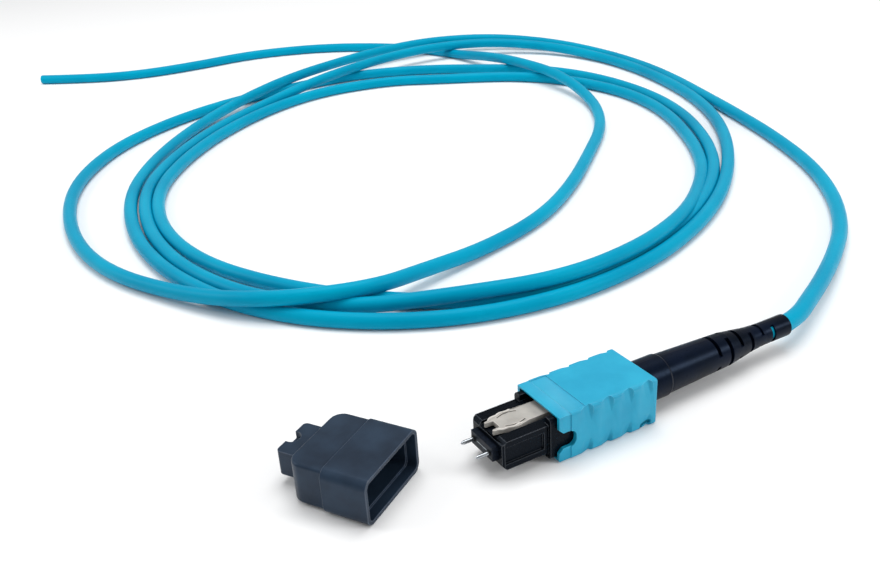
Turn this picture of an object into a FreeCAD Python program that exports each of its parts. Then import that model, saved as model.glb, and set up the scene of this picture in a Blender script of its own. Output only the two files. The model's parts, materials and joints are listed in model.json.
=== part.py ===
# Multi-fibre push-on plug with guide pins, on a loosely coiled round cable, with its dust cap off.
#
# Frame: millimetres, +Z up, the floor at z = 0 under the middle of the outer housing. The plug lies
# along Y: its mating face looks towards -Y and its cable leaves towards +Y. Every piece of the plug
# is drawn in one local frame, with x across, y up from the plug's axis and z forward from the
# housing's middle, and its placement turns that frame into the plug's own.
import FreeCAD, Part
import math
import os
import re
import Sketcher
from FreeCAD import Placement, Rotation, Vector

# ---------------------------------------------------------------------------- driving dimensions
SIZES = {
    # outer housing: the sleeve that slides back to release the plug
    "housing_wide": 12.4,
    "housing_high": 9.0,
    "housing_long": 20.2,
    "housing_corner": 0.55,
    "housing_rear_edge": 0.35,
    "side_wall": 0.85,
    "front_roof": 0.5,
    "rear_roof": 0.4,
    "rear_room_long": 8.6,
    "band_long": 2.3,
    "band_drop": 0.2,
    "strip_long": 3.1,
    "strip_drop": 0.15,
    "strip_margin": 0.7,
    "scoop_first": 3.65,
    "scoop_pitch": 4.15,
    "scoop_count": 4,
    "scoop_long": 3.1,
    "scoop_end": 0.6,
    "scoop_depth": 0.75,
    "scoop_tall": 3.2,
    "notch_high": 3.0,
    "notch_long": 3.3,
    "notch_drop": 0.4,
    "notch_lead": 0.8,
    "foot_slot_long": 2.3,
    "foot_slot_high": 1.15,
    "foot_slot_inset": 1.2,
    "foot_slot_mouth": 0.5,
    "foot_hook": 0.4,
    "ledge_inset": 5.8,
    "ledge_long": 1.2,
    "ledge_high": 1.8,
    "slide_gap": 0.1,
    # inner housing: nose, collar and core in one moulding
    "nose_reach": 9.95,
    "nose_wide": 9.4,
    "nose_high": 5.4,
    "nose_bevel": 0.7,
    "nose_side_bevel": 0.35,
    "collar_proud": 1.2,
    "collar_corner": 0.8,
    "saddle_wide": 7.4,
    "saddle_long": 4.0,
    "spring_room": 1.0,
    "core_drop": 0.7,
    "core_inset": 3.4,
    "recess_deep": 0.45,
    "recess_high": 3.2,
    "recess_long": 7.4,
    "recess_inset": 0.5,
    "window_wide": 2.6,
    "window_long": 2.0,
    "window_inset": 1.9,
    # ferrule, guide pins and what rides with them
    "ferrule_wide": 6.4,
    "ferrule_high": 2.5,
    "ferrule_long": 8.0,
    "ferrule_proud": 1.1,
    "shoulder_wide": 7.0,
    "shoulder_high": 3.0,
    "shoulder_long": 2.0,
    "ferrule_gap": 0.1,
    "ferrule_travel": 0.8,
    "pin_size": 0.7,
    "pin_pitch": 4.6,
    "pin_long": 12.5,
    "pin_proud": 2.5,
    "pin_tip": 0.25,
    "pin_fit": 0.02,
    "pin_sink": 0.2,
    "clamp_long": 2.0,
    "clamp_inset": 0.1,
    "fibre_count": 12,
    "fibre_pitch": 0.25,
    "fibre_size": 0.125,
    "ribbon_thick": 0.28,
    "boot_wide": 3.5,
    "boot_high": 1.1,
    "boot_sunk": 3.7,
    "boot_tail": 0.9,
    "glue_window_long": 1.6,
    # spring push: the rear moulding, with its crimp barrel
    "push_reach": 6.9,
    "flange_gap": 0.2,
    "flange_drop": 0.45,
    "flange_long": 1.2,
    "hook_wide": 2.4,
    "hook_high": 2.8,
    "hook_long": 1.8,
    "hook_gap": 0.1,
    "fibre_way_wide": 3.6,
    "fibre_way_high": 1.0,
    "barrel_size": 4.6,
    "barrel_bore": 3.3,
    "barrel_long": 8.0,
    "knurl_deep": 0.15,
    "knurl_long": 0.6,
    "knurl_pitch": 1.6,
    "knurl_count": 4,
    # springs
    "side_slack": 0.05,
    "side_wire": 0.18,
    "side_turns": 9,
    "main_coil_wide": 5.9,
    "main_coil_high": 2.35,
    "main_wire": 0.4,
    "main_turns": 7,
    # crimp
    "yarn_thick": 0.22,
    "crimp_thick": 0.3,
    "crimp_long": 7.4,
    "crimp_flat": 5.2,
    "crimp_flat_long": 4.6,
    # strain-relief boot
    "relief_gap": 0.15,
    "relief_step": 0.2,
    "relief_collar_long": 7.6,
    "relief_shoulder_size": 6.4,
    "relief_shoulder_at": 23.0,
    "relief_neck_size": 4.7,
    "relief_neck_at": 29.2,
    "relief_tail_size": 4.3,
    "relief_long": 38.5,
    "relief_grip": 0.1,
    "relief_slot": 0.8,
    "relief_slot_first": 20.0,
    "relief_slot_pitch": 2.9,
    "relief_slot_pairs": 3,
    "relief_web": 2.0,
    # sliding polarity keys
    "key_wide": 4.0,
    "key_thick": 0.9,
    "key_long": 12.0,
    "key_floor": 2.1,
    "key_gap": 0.1,
    "key_travel": 2.0,
    "key_tip_inset": 0.3,
    "fork_wide": 1.9,
    "fork_long": 1.5,
    "prong_wide": 0.6,
    "leg_bulge": 0.4,
    "leg_waist": 0.25,
    "leg_bend": 1.6,
    "leg_slot": 0.28,
    "leg_slot_at": 1.2,
    # cable
    "cable_size": 3.5,
    "coil_high": 7.2,
    # dust cap
    "cap_wide": 16.2,
    "cap_high": 8.4,
    "cap_mouth_long": 8.2,
    "cap_corner": 1.6,
    "cap_wall": 0.7,
    "cap_step": 0.6,
    "cap_roof_step": 0.4,
    "cap_body_long": 6.6,
    "cap_shoulder": 2.4,
    "cap_brow": 0.5,
    "cap_room_deep": 1.9,
    "cap_hall_step": 0.4,
    "cap_hall_deep": 6.4,
    "cap_fit": 0.15,
    "cap_seat_deep": 13.2,
    "cap_tab_wide": 8.4,
    "cap_tab_high": 4.6,
    "cap_tab_long": 4.4,
    "cap_tab_corner": 0.8,
    "cap_notch_wide": 2.8,
    "cap_notch_long": 1.8,
    "cap_notch_deep": 1.3,
    "cap_angle": 123.0,
    "cap_mouth_x": -1.3,
    "cap_mouth_y": -36.5,
}

# Stations along the plug's axis, each the distance forward of the housing's middle.
FRONT = "housing_long / 2"
REAR = "-housing_long / 2"
NOSE_FACE = "(housing_long / 2 + nose_reach)"
COLLAR_FACE = "(housing_long / 2 + collar_proud)"
LEDGE_FACE = "(housing_long / 2 - ledge_inset)"
COLLAR_BACK = "(housing_long / 2 - ledge_inset + slide_gap)"
CORE_BACK = "(core_inset - housing_long / 2)"
FLANGE_BACK = "(core_inset - flange_long - housing_long / 2)"
FERRULE_FACE = "(housing_long / 2 + nose_reach + ferrule_proud)"
FERRULE_BACK = "(housing_long / 2 + nose_reach + ferrule_proud - ferrule_long)"
STOP_FACE = "(housing_long / 2 + nose_reach + ferrule_proud - ferrule_long + shoulder_long + ferrule_gap / 2)"
CLAMP_BACK = "(housing_long / 2 + nose_reach + ferrule_proud - ferrule_long - clamp_long)"
PUSH_FACE = "(core_inset - housing_long / 2 + push_reach)"
BARREL_BACK = "(core_inset - flange_long - housing_long / 2 - barrel_long)"
RELIEF_BACK = "(core_inset - flange_long - housing_long / 2 - relief_long)"
CAVITY_WIDE = "(housing_wide - 2 * side_wall)"
FRONT_CAVITY_HIGH = "(housing_high - 2 * front_roof)"
REAR_CAVITY_HIGH = "(housing_high - 2 * rear_roof)"
CORE_WIDE = "(housing_wide - 2 * side_wall - 2 * spring_room)"
CORE_HIGH = "(housing_high - 2 * front_roof - 2 * core_drop)"
RELIEF_SIZE = "(housing_high - 2 * rear_roof - 2 * relief_gap)"
CHAMBER_WIDE = "(shoulder_wide + 3 * ferrule_gap)"
CHAMBER_HIGH = "(shoulder_high + 2 * ferrule_gap)"
CRIMP_SIZE = "(barrel_size + 2 * yarn_thick + 2 * crimp_thick)"

# The cable's route over the floor, as chosen points (x, y) with the height of its centre. The lead
# starts in the boot's tail; the other stretches leave the coil, or end at it.
LEAD = [(0.0, 55.0, 4.5), (-3.5, 66.0, 4.0), (-11.0, 78.0, 3.1), (-22.0, 93.0, 2.1),
        (-38.0, 108.0, 1.76), (-60.0, 123.0, 1.75), (-85.0, 134.5, 1.75), (-107.0, 141.5, 1.75),
        (-129.0, 146.5, 1.75)]
OUTER_LOOP = [(-231.0, 36.0, 1.75), (-240.0, 13.0, 1.75), (-229.0, -11.0, 1.75),
              (-206.0, -34.0, 1.75), (-176.0, -51.0, 1.75), (-142.0, -59.5, 1.75),
              (-108.0, -54.5, 1.75), (-81.0, -37.0, 1.75)]
INNER_LOOP = [(-72.0, -15.0, 1.75), (-66.5, 9.0, 1.75), (-70.5, 31.0, 1.75), (-82.0, 53.0, 1.75),
              (-97.0, 74.0, 1.75), (-116.0, 94.0, 1.75), (-138.0, 110.0, 1.75), (-162.0, 121.0, 1.75)]
TAIL = [(-249.0, 113.0, 1.75), (-269.0, 97.0, 1.75), (-284.0, 76.0, 1.75), (-292.5, 52.0, 1.75),
        (-295.0, 26.0, 1.75), (-298.0, 0.0, 1.75), (-305.5, -21.0, 1.75), (-317.0, -37.0, 1.75)]
# The closed outlines of the coil on the floor: what its outermost and innermost turns reach.
COIL_OUTSIDE = [(-118.0, 146.0), (-168.0, 161.5), (-218.0, 157.0), (-249.0, 136.0), (-256.0, 100.0),
                (-250.0, 56.0), (-229.0, 16.0), (-194.0, -20.0), (-148.0, -45.0), (-100.0, -49.0),
                (-62.0, -32.0), (-39.0, 2.0), (-38.0, 46.0), (-56.0, 89.0), (-84.0, 121.0)]
COIL_INSIDE = [(-134.0, 126.0), (-166.0, 119.5), (-192.0, 100.0), (-212.0, 70.0), (-214.0, 38.0),
               (-196.0, 5.0), (-164.0, -23.0), (-124.0, -32.5), (-88.0, -26.0), (-62.0, -2.0),
               (-51.0, 32.0), (-57.0, 66.0), (-74.0, 95.0), (-101.0, 116.0)]

# ------------------------------------------------------------------------------- document helpers
doc = FreeCAD.newDocument("mpo_plug")
sheet = doc.addObject("Spreadsheet::Sheet", "Sizes")
for row, (alias, number) in enumerate(SIZES.items(), start=1):
    sheet.set("A%d" % row, alias)
    sheet.set("B%d" % row, str(number))
    sheet.setAlias("B%d" % row, alias)
doc.recompute()

WORD = re.compile(r"[a-z_]+")


def cells(text):
    """An expression written with bare size names, as FreeCAD reads it."""
    return WORD.sub(lambda found: "Sizes." + found[0] if found[0] in SIZES else found[0], str(text))


def number(text):
    """What an expression comes to with the sheet's present sizes."""
    return float(sheet.evalExpression(cells(text)))


def plug_body(label):
    """A body in the plug's local frame: x across, y up from the axis, z forward."""
    piece = doc.addObject("PartDesign::Body", label)
    piece.Label = label
    piece.Placement = Placement(Vector(0, 0, 0), Rotation(Vector(1, 0, 0), 90))
    piece.setExpression("Placement.Base.z", cells("housing_high / 2"))
    return piece


def plane(piece, role):
    """One of a body's own origin planes or axes."""
    return next(item for item in piece.Origin.OriginFeatures if item.Role == role)


def sketch_on(piece, name, at="0", role="XY_Plane"):
    """An empty sketch on an origin plane, moved along the plane's normal."""
    drawing = piece.newObject("Sketcher::SketchObject", name)
    drawing.AttachmentSupport = [(plane(piece, role), "")]
    drawing.MapMode = "FlatFace"
    if at != "0":
        drawing.setExpression("AttachmentOffset.Base.z", cells(at))
    return drawing


def pin_point(drawing, line, end, across, up):
    """Holds one end of a line at a place given by two expressions."""
    for kind, axis, text in (("DistanceX", -2, across), ("DistanceY", -1, up)):
        if str(text) == "0":
            drawing.addConstraint(Sketcher.Constraint("PointOnObject", line, end, axis))
            continue
        index = drawing.addConstraint(Sketcher.Constraint(kind, -1, 1, line, end, number(text)))
        drawing.setExpression("Constraints[%d]" % index, cells(text))


def polygon(drawing, corners):
    """A closed outline whose corners are pairs of expressions."""
    places = [Vector(number(across), number(up), 0) for across, up in corners]
    first = drawing.GeometryCount
    for here, there in zip(places, places[1:] + places[:1]):
        drawing.addGeometry(Part.LineSegment(here, there), False)
    for step in range(len(corners)):
        following = first + (step + 1) % len(corners)
        drawing.addConstraint(Sketcher.Constraint("Coincident", first + step, 2, following, 1))
    for step, (across, up) in enumerate(corners):
        pin_point(drawing, first + step, 1, across, up)


def rectangle(drawing, left, right, low, high):
    """A rectangle between two pairs of expressions."""
    polygon(drawing, [(left, low), (right, low), (right, high), (left, high)])


def centred(drawing, wide, high):
    """A rectangle of a width and height centred on the axis."""
    rectangle(drawing, "-(%s) / 2" % wide, "(%s) / 2" % wide, "-(%s) / 2" % high, "(%s) / 2" % high)


def circle(drawing, size, across="0", up="0"):
    """A circle of a diameter about a place."""
    middle = Vector(number(across), number(up), 0)
    index = drawing.addGeometry(Part.Circle(middle, Vector(0, 0, 1), number(size) / 2), False)
    mark = drawing.addConstraint(Sketcher.Constraint("Diameter", index, number(size)))
    drawing.setExpression("Constraints[%d]" % mark, cells(size))
    pin_point(drawing, index, 3, across, up)


def pad(piece, drawing, length):
    """Adds material forward of a sketch."""
    feature = piece.newObject("PartDesign::Pad", drawing.Name + "Pad")
    feature.Profile = drawing
    feature.setExpression("Length", cells(length))
    return feature


def pocket(piece, drawing, length, forward=False):
    """Removes material behind a sketch, or forward of it."""
    feature = piece.newObject("PartDesign::Pocket", drawing.Name + "Pocket")
    feature.Profile = drawing
    feature.Reversed = forward
    feature.setExpression("Length", cells(length))
    return feature


def pocket_across(piece, drawing):
    """Removes material through the whole piece, both ways from a sketch."""
    feature = piece.newObject("PartDesign::Pocket", drawing.Name + "Pocket")
    feature.Profile = drawing
    feature.Type = "ThroughAll"
    feature.Midplane = True
    return feature


def revolve(piece, drawing):
    """Turns a sketch on the YZ plane about the plug's axis."""
    feature = piece.newObject("PartDesign::Revolution", drawing.Name + "Turn")
    feature.Profile = drawing
    feature.ReferenceAxis = (drawing, ["V_Axis"])
    feature.Angle = 360
    return feature


def edges_where(piece, direction, test):
    """Names of the straight edges along a local direction whose middle passes a test."""
    doc.recompute()
    names = []
    for place, edge in enumerate(piece.Tip.Shape.Edges, start=1):
        if len(edge.Vertexes) < 2 or "Line" not in edge.Curve.TypeId:
            continue
        run = edge.Vertexes[1].Point - edge.Vertexes[0].Point
        middle = (edge.Vertexes[1].Point + edge.Vertexes[0].Point) * 0.5
        if abs(abs(run.normalize().dot(direction)) - 1) < 1e-6 and test(middle):
            names.append("Edge%d" % place)
    return names


def soften(piece, kind, size, direction, test):
    """Fillets or chamfers the edges that a test picks."""
    names = edges_where(piece, direction, test)
    base = piece.Tip
    feature = piece.newObject("PartDesign::" + kind, piece.Name + kind)
    feature.Base = (base, names)
    feature.setExpression("Radius" if kind == "Fillet" else "Size", cells(size))
    return feature


def near(first, text):
    """True where a length is what an expression comes to."""
    return abs(first - number(text)) < 1e-4


ACROSS = Vector(1, 0, 0)
UP = Vector(0, 1, 0)
FORWARD = Vector(0, 0, 1)


# --------------------------------------------------------------------------------- outer housing
def outer_housing():
    """The sliding sleeve: an open box with a stepped front band, grip scoops and two side notches."""
    piece = plug_body("outer_housing")
    outline = sketch_on(piece, "SleeveOutline", REAR)
    centred(outline, "housing_wide", "housing_high")
    pad(piece, outline, "housing_long")
    soften(piece, "Fillet", "housing_corner", FORWARD, lambda middle: True)
    soften(piece, "Fillet", "housing_rear_edge", ACROSS, lambda middle: near(middle.z, REAR))

    band = sketch_on(piece, "SleeveBand", FRONT)
    centred(band, "housing_wide + 2", "housing_high + 2")
    centred(band, "(housing_wide - 2 * band_drop)", "(housing_high - 2 * band_drop)")
    pocket(piece, band, "band_long")
    strips = sketch_on(piece, "SleeveStrips", FRONT + " - band_long")
    reach = "(housing_wide / 2 - strip_margin)"
    for side in ("", "-"):
        near_edge = "%s(housing_high / 2 - strip_drop)" % side
        rectangle(strips, "-" + reach, reach, near_edge, "%s(housing_high / 2 + 1)" % side)
    pocket(piece, strips, "strip_long")

    front_room = sketch_on(piece, "SleeveFrontRoom", FRONT)
    centred(front_room, CAVITY_WIDE, FRONT_CAVITY_HIGH)
    pocket(piece, front_room, "housing_long")
    rear_room = sketch_on(piece, "SleeveRearRoom", REAR)
    centred(rear_room, CAVITY_WIDE, REAR_CAVITY_HIGH)
    pocket(piece, rear_room, "rear_room_long", forward=True)

    ledges = sketch_on(piece, "SleeveLedges", LEDGE_FACE + " - ledge_long")
    inner = "(%s / 2 + slide_gap)" % CORE_WIDE
    outer = "(housing_wide / 2 - side_wall / 2)"
    rectangle(ledges, inner, outer, "-ledge_high / 2", "ledge_high / 2")
    rectangle(ledges, "-" + outer, "-" + inner, "-ledge_high / 2", "ledge_high / 2")
    pad(piece, ledges, "ledge_long")

    notch = sketch_on(piece, "SleeveNotch", role="YZ_Plane")
    low = "(-notch_drop - notch_high / 2)"
    high = "(-notch_drop + notch_high / 2)"
    rectangle(notch, low, high, FRONT + " - notch_long", FRONT + " + 1")
    pocket_across(piece, notch)
    notch_end = FRONT + " - notch_long"
    soften(piece, "Fillet", "notch_high / 2 - 0.3", ACROSS, lambda middle: near(middle.z, notch_end))
    soften(piece, "Chamfer", "notch_lead", ACROSS,
           lambda middle: near(middle.z, FRONT) and (near(middle.y, low) or near(middle.y, high)))

    foot = sketch_on(piece, "SleeveFootSlots", role="YZ_Plane")
    slot_top, hook_top = "(foot_slot_high - housing_high / 2)", "(foot_hook - housing_high / 2)"
    slot_back = REAR + " + foot_slot_inset"
    slot_front = slot_back + " + foot_slot_long"
    below_floor = "(-housing_high / 2 - 1)"
    polygon(foot, [(slot_top, slot_back), (slot_top, slot_front), (below_floor, slot_front),
                   (below_floor, slot_front + " - foot_slot_mouth"),
                   (hook_top, slot_front + " - foot_slot_mouth"), (hook_top, slot_back)])
    pocket_across(piece, foot)

    first = "(%s - scoop_first)" % FRONT
    level = "(housing_high / 2)"
    sections = []
    for name, drop, depth in (("ScoopTop", "0", "scoop_depth"), ("ScoopFoot", "scoop_tall", "-slide_gap")):
        section = sketch_on(piece, name, "-(%s - %s)" % (level, drop), role="XZ_Plane")
        polygon(section, [("(housing_wide / 2 + 1)", first),
                          ("(housing_wide / 2 + slide_gap)", first),
                          ("(housing_wide / 2 - %s * 0.6)" % depth, first + " - 0.45 * scoop_long"),
                          ("(housing_wide / 2 - %s)" % depth, first + " - scoop_long + scoop_end"),
                          ("(housing_wide / 2 + slide_gap)", first + " - scoop_long"),
                          ("(housing_wide / 2 + 1)", first + " - scoop_long")])
        sections.append(section)
    scoop = piece.newObject("PartDesign::SubtractiveLoft", "GripScoop")
    scoop.Profile = sections[0]
    scoop.Sections = sections[1:]
    scoop.Ruled = True
    grips = piece.newObject("PartDesign::MultiTransform", "Grips")
    grips.Originals = [scoop]
    along = piece.newObject("PartDesign::LinearPattern", "GripsAlong")
    along.Direction = (plane(piece, "Z_Axis"), [""])
    along.Reversed = True
    along.setExpression("Length", cells("scoop_pitch * (scoop_count - 1)"))
    along.setExpression("Occurrences", cells("scoop_count"))
    across = piece.newObject("PartDesign::Mirrored", "GripsAcross")
    across.MirrorPlane = (plane(piece, "YZ_Plane"), [""])
    below = piece.newObject("PartDesign::Mirrored", "GripsBelow")
    below.MirrorPlane = (plane(piece, "XZ_Plane"), [""])
    grips.Transformations = [along, across, below]
    piece.Tip = grips
    return piece


# --------------------------------------------------------------------------------- inner housing
def inner_housing():
    """Nose, collar and core: the plug's fixed moulding, bored for the ferrule and the main spring."""
    piece = plug_body("inner_housing")
    core = sketch_on(piece, "Core", CORE_BACK)
    centred(core, CORE_WIDE, CORE_HIGH)
    pad(piece, core, "%s - %s" % (COLLAR_BACK, CORE_BACK))
    collar = sketch_on(piece, "Collar", COLLAR_BACK)
    collar_wide = "(%s - 2 * slide_gap)" % CAVITY_WIDE
    centred(collar, collar_wide, "(%s - 2 * slide_gap)" % FRONT_CAVITY_HIGH)
    pad(piece, collar, "%s - %s" % (COLLAR_FACE, COLLAR_BACK))
    soften(piece, "Fillet", "collar_corner", FORWARD,
           lambda middle: near(abs(middle.x), collar_wide + " / 2"))
    nose = sketch_on(piece, "Nose", COLLAR_FACE)
    centred(nose, "nose_wide", "nose_high")
    pad(piece, nose, "%s - %s" % (NOSE_FACE, COLLAR_FACE))
    soften(piece, "Chamfer", "nose_bevel", ACROSS,
           lambda middle: near(middle.z, NOSE_FACE))
    soften(piece, "Chamfer", "nose_side_bevel", UP,
           lambda middle: near(middle.z, NOSE_FACE))

    saddle = sketch_on(piece, "Saddles", COLLAR_FACE)
    for side in ("", "-"):
        rectangle(saddle, "-saddle_wide / 2", "saddle_wide / 2",
                  side + "nose_high / 2", side + "housing_high / 2")
    pocket(piece, saddle, "saddle_long")
    ways = sketch_on(piece, "KeyWays", NOSE_FACE)
    half = "(key_wide / 2 + leg_bulge + key_gap)"
    for side in ("", "-"):
        rectangle(ways, "-" + half, half, side + "key_floor", side + "(key_floor + key_thick + 2 * key_gap)")
    pocket(piece, ways, "key_tip_inset + key_long + key_travel + 2 * key_gap")

    recess = sketch_on(piece, "SideRecesses", NOSE_FACE + " - recess_inset")
    for side in ("", "-"):
        rectangle(recess, side + "(nose_wide / 2 - recess_deep)", side + "(nose_wide / 2 + 1)",
                  "-recess_high / 2", "recess_high / 2")
    pocket(piece, recess, "recess_long")

    bore = sketch_on(piece, "FerruleBore", NOSE_FACE)
    centred(bore, "(ferrule_wide + 2 * ferrule_gap)", "(ferrule_high + 2 * ferrule_gap)")
    pocket(piece, bore, "%s - %s" % (NOSE_FACE, CORE_BACK))
    chamber = sketch_on(piece, "SpringChamber", STOP_FACE)
    centred(chamber, CHAMBER_WIDE, CHAMBER_HIGH)
    pocket(piece, chamber, "%s - %s" % (STOP_FACE, CORE_BACK))
    windows = sketch_on(piece, "LatchWindows", CORE_BACK + " + window_inset")
    for side in ("", "-"):
        rectangle(windows, "-window_wide / 2", "window_wide / 2",
                  side + "shoulder_high / 2", side + "(%s / 2 + 1)" % CORE_HIGH)
    pocket(piece, windows, "window_long", forward=True)
    return piece


# ------------------------------------------------------------------- ferrule and its fellow parts
def ferrule():
    """The rectangular ferrule: pin holes, a row of fibre holes, a glue window and a rear shoulder."""
    piece = plug_body("ferrule")
    block = sketch_on(piece, "FerruleBlock", FERRULE_BACK)
    centred(block, "ferrule_wide", "ferrule_high")
    pad(piece, block, "ferrule_long")
    shoulder = sketch_on(piece, "FerruleShoulder", FERRULE_BACK)
    centred(shoulder, "shoulder_wide", "shoulder_high")
    pad(piece, shoulder, "shoulder_long")
    rear_room = sketch_on(piece, "FerruleBootRoom", FERRULE_BACK)
    centred(rear_room, "(boot_wide + pin_fit)", "(boot_high + pin_fit)")
    pocket(piece, rear_room, "boot_sunk", forward=True)
    window = sketch_on(piece, "GlueWindow", FERRULE_BACK + " + boot_sunk")
    rectangle(window, "-boot_wide / 2", "boot_wide / 2", "-fibre_size", "ferrule_high")
    pocket(piece, window, "glue_window_long", forward=True)
    holes = sketch_on(piece, "PinHoles", FERRULE_FACE)
    sinks = sketch_on(piece, "PinSinks", FERRULE_FACE)
    for side in ("", "-"):
        circle(holes, "(pin_size + 2 * pin_fit)", side + "pin_pitch / 2")
        circle(sinks, "(pin_size + 2 * pin_sink)", side + "pin_pitch / 2")
    pocket(piece, holes, "ferrule_long")
    pocket(piece, sinks, "pin_sink")
    fibres = sketch_on(piece, "FibreSlot", FERRULE_FACE)
    centred(fibres, "(fibre_count * fibre_pitch)", "(fibre_size + pin_fit)")
    pocket(piece, fibres, "ferrule_long - boot_sunk")
    return piece


def guide_pin(label, side):
    """A steel guide pin with a tapered tip, standing out of the ferrule's face."""
    piece = plug_body(label)
    piece.setExpression("Placement.Base.x", cells(side + "pin_pitch / 2"))
    tip = FERRULE_FACE + " + pin_proud"
    radius = "pin_size / 2"
    profile = sketch_on(piece, label + "Profile", role="YZ_Plane")
    polygon(profile, [("0", tip + " - pin_long"), (radius, tip + " - pin_long"),
                      (radius, tip + " - 2 * pin_tip"),
                      ("pin_size / 2 - pin_tip * 0.45", tip + " - pin_tip * 0.5"),
                      ("pin_size / 2 - pin_tip", tip), ("0", tip)])
    revolve(piece, profile)
    return piece


def pin_clamp():
    """The plate behind the ferrule that keeps both guide pins and passes the fibres."""
    piece = plug_body("pin_clamp")
    plate = sketch_on(piece, "ClampPlate", CLAMP_BACK)
    centred(plate, "(shoulder_wide - clamp_inset)", "(shoulder_high - clamp_inset)")
    pad(piece, plate, "clamp_long")
    openings = sketch_on(piece, "ClampOpenings", FERRULE_BACK)
    centred(openings, "(boot_wide + pin_fit)", "(boot_high + pin_fit)")
    for side in ("", "-"):
        circle(openings, "(pin_size + 2 * pin_fit)", side + "pin_pitch / 2")
    pocket(piece, openings, "clamp_long")
    return piece


def ferrule_boot():
    """The soft sleeve in the ferrule's back, which guides the ribbon of fibres."""
    piece = plug_body("ferrule_boot")
    back = CLAMP_BACK + " - boot_tail"
    sleeve = sketch_on(piece, "BootSleeve", back)
    centred(sleeve, "boot_wide", "boot_high")
    pad(piece, sleeve, "%s + boot_sunk - (%s)" % (FERRULE_BACK, back))
    way = sketch_on(piece, "BootWay", back)
    centred(way, "(fibre_count * fibre_pitch + 2 * pin_fit)", "(ribbon_thick + 2 * pin_fit)")
    pocket(piece, way, "boot_tail + clamp_long + boot_sunk", forward=True)
    return piece


def fibre_ribbon():
    """The ribbon of coated fibres, bared to a thin comb where it runs through the ferrule."""
    piece = plug_body("fibre_ribbon")
    back = BARREL_BACK + " + ferrule_travel + slide_gap"
    bared = FERRULE_BACK + " + boot_sunk"
    ribbon = sketch_on(piece, "Ribbon", back)
    centred(ribbon, "(fibre_count * fibre_pitch)", "ribbon_thick")
    pad(piece, ribbon, "%s - (%s)" % (bared, back))
    comb = sketch_on(piece, "BaredFibres", bared)
    centred(comb, "(fibre_count * fibre_pitch - fibre_size)", "fibre_size")
    pad(piece, comb, "ferrule_long - boot_sunk")
    return piece


# -------------------------------------------------------------------------------- rear of the plug
def spring_push():
    """The rear moulding: a block that backs the main spring, latch hooks, a flange and a barrel."""
    piece = plug_body("spring_push")
    block = sketch_on(piece, "PushBlock", CORE_BACK)
    centred(block, "(%s - 2 * slide_gap)" % CHAMBER_WIDE, "(%s - 2 * slide_gap)" % CHAMBER_HIGH)
    pad(piece, block, "push_reach")
    flange = sketch_on(piece, "PushFlange", FLANGE_BACK)
    centred(flange, "(%s - 2 * flange_gap)" % CAVITY_WIDE, "(%s - 2 * flange_drop)" % REAR_CAVITY_HIGH)
    pad(piece, flange, "flange_long")
    hooks = sketch_on(piece, "PushHooks", CORE_BACK + " + window_inset + hook_gap")
    for side in ("", "-"):
        rectangle(hooks, "-hook_wide / 2", "hook_wide / 2", side + "shoulder_high / 4", side + "hook_high")
    pad(piece, hooks, "hook_long")
    hook_front = CORE_BACK + " + window_inset + hook_gap + hook_long"
    soften(piece, "Chamfer", "hook_high - shoulder_high / 2 - 0.3", ACROSS,
           lambda middle: near(middle.z, hook_front) and near(abs(middle.y), "hook_high"))
    barrel = sketch_on(piece, "CrimpBarrel", BARREL_BACK)
    circle(barrel, "barrel_size")
    pad(piece, barrel, "barrel_long")
    knurl = sketch_on(piece, "BarrelGroove", BARREL_BACK + " + knurl_pitch + knurl_long")
    circle(knurl, "(barrel_size + 1)")
    circle(knurl, "(barrel_size - 2 * knurl_deep)")
    groove = pocket(piece, knurl, "knurl_long")
    rings = piece.newObject("PartDesign::LinearPattern", "BarrelGrooves")
    rings.Originals = [groove]
    rings.Direction = (plane(piece, "Z_Axis"), [""])
    rings.setExpression("Length", cells("knurl_pitch * (knurl_count - 1)"))
    rings.setExpression("Occurrences", cells("knurl_count"))
    piece.Tip = rings
    way = sketch_on(piece, "FibreWay", PUSH_FACE)
    centred(way, "fibre_way_wide", "fibre_way_high")
    pocket(piece, way, "push_reach + flange_long + 1")
    bore = sketch_on(piece, "BarrelBore", BARREL_BACK)
    circle(bore, "barrel_bore")
    pocket(piece, bore, "barrel_long", forward=True)
    return piece


def yarn_sleeve():
    """The cable's strength yarn, folded over the barrel under the crimp."""
    piece = plug_body("yarn_sleeve")
    ring = sketch_on(piece, "YarnRing", BARREL_BACK)
    circle(ring, "(barrel_size + 2 * yarn_thick)")
    circle(ring, "barrel_size")
    pad(piece, ring, "crimp_long")
    return piece


def crimp_ring():
    """The metal band over the yarn, pressed to a hexagon along its middle."""
    piece = plug_body("crimp_ring")
    ring = sketch_on(piece, "CrimpRing", BARREL_BACK)
    circle(ring, CRIMP_SIZE)
    circle(ring, "(barrel_size + 2 * yarn_thick)")
    pad(piece, ring, "crimp_long")
    press = sketch_on(piece, "CrimpPress", BARREL_BACK + " + (crimp_long + crimp_flat_long) / 2")
    circle(press, CRIMP_SIZE + " + 1")
    corners = []
    for step in range(6):
        turn = 60 * step + 30
        corners.append(("crimp_flat / 3 ^ 0.5 * %.6f" % math.cos(math.radians(turn)),
                        "crimp_flat / 3 ^ 0.5 * %.6f" % math.sin(math.radians(turn))))
    polygon(press, corners)
    pocket(piece, press, "crimp_flat_long")
    return piece


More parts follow.
